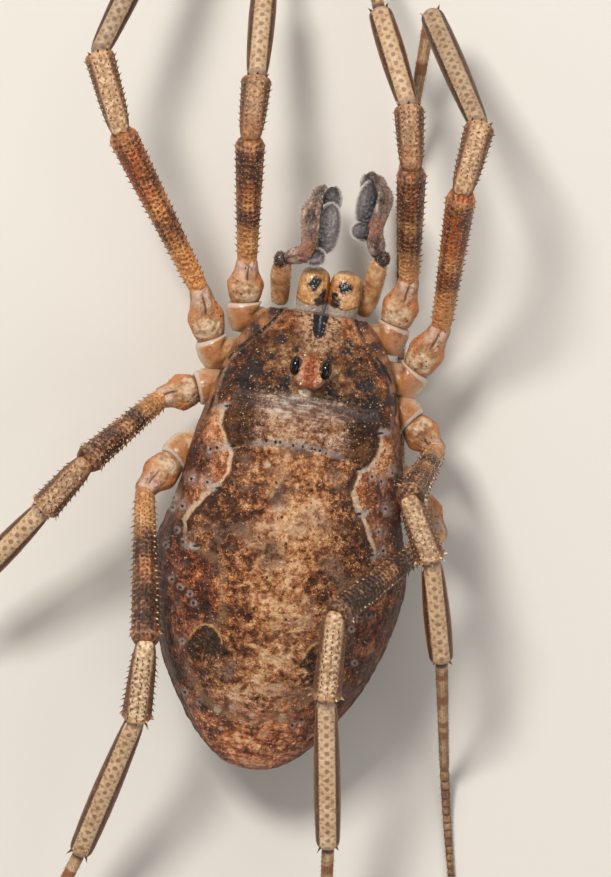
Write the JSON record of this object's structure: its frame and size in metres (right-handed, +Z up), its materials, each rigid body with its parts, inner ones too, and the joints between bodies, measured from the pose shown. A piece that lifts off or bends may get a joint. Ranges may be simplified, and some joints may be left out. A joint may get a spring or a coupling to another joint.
{
  "type": "graecophalangium harvestman",
  "caption": "Life-size still model of a harvestman: egg-shaped mottled body, eye hill, short chelicerae and pedipalps, and long spiny jointed legs standing on their tarsi.",
  "frame": {"origin": "on the floor under the middle of the leg span, level with the flats of the tarsi", "axes": "+Z up from the floor, -Y towards the head, +X towards the animal's left"},
  "size_m": [0.0128, 0.0328, 0.0046],
  "materials": {
    "carapace": "matt, granular mottled cuticle",
    "abdomen": "matt leathery mottled cuticle",
    "eye": "polished black lens",
    "chelicera": "glossy golden cuticle with black patches",
    "pedipalp": "satin amber cuticle",
    "coxa": "glossy translucent amber cuticle",
    "femur": "granular brown banded cuticle",
    "patella": "granular brown cuticle",
    "tibia": "satin cream and brown cuticle",
    "metatarsus": "satin brown cuticle",
    "tarsus": "satin brown ringed cuticle"
  },
  "bodies": {
    "root": {"abdomen": "abdomen", "carapace": "carapace", "chelicera_left_base": "chelicera", "chelicera_left_hand": "chelicera", "chelicera_right_base": "chelicera", "chelicera_right_hand": "chelicera", "eye_left": "eye", "eye_right": "eye", "leg_left_1_coxa": "coxa", "leg_left_1_femur": "femur", "leg_left_1_metatarsus": "metatarsus", "leg_left_1_patella": "patella", "leg_left_1_tarsus": "tarsus", "leg_left_1_tibia": "tibia", "leg_left_2_coxa": "coxa", "leg_left_2_femur": "femur", "leg_left_2_metatarsus": "metatarsus", "leg_left_2_patella": "patella", "leg_left_2_tarsus": "tarsus", "leg_left_2_tibia": "tibia", "leg_left_3_coxa": "coxa", "leg_left_3_femur": "femur", "leg_left_3_metatarsus": "metatarsus", "leg_left_3_patella": "patella", "leg_left_3_tarsus": "tarsus", "leg_left_3_tibia": "tibia", "leg_left_4_coxa": "coxa", "leg_left_4_femur": "femur", "leg_left_4_metatarsus": "metatarsus", "leg_left_4_patella": "patella", "leg_left_4_tarsus": "tarsus", "leg_left_4_tibia": "tibia", "leg_right_1_coxa": "coxa", "leg_right_1_femur": "femur", "leg_right_1_metatarsus": "metatarsus", "leg_right_1_patella": "patella", "leg_right_1_tarsus": "tarsus", "leg_right_1_tibia": "tibia", "leg_right_2_coxa": "coxa", "leg_right_2_femur": "femur", "leg_right_2_metatarsus": "metatarsus", "leg_right_2_patella": "patella", "leg_right_2_tarsus": "tarsus", "leg_right_2_tibia": "tibia", "leg_right_3_coxa": "coxa", "leg_right_3_femur": "femur", "leg_right_3_metatarsus": "metatarsus", "leg_right_3_patella": "patella", "leg_right_3_tarsus": "tarsus", "leg_right_3_tibia": "tibia", "leg_right_4_coxa": "coxa", "leg_right_4_femur": "femur", "leg_right_4_metatarsus": "metatarsus", "leg_right_4_patella": "patella", "leg_right_4_tarsus": "tarsus", "leg_right_4_tibia": "tibia", "pedipalp_left_femur": "pedipalp", "pedipalp_left_outer": "pedipalp", "pedipalp_right_femur": "pedipalp", "pedipalp_right_outer": "pedipalp"}
  },
  "joints": []
}
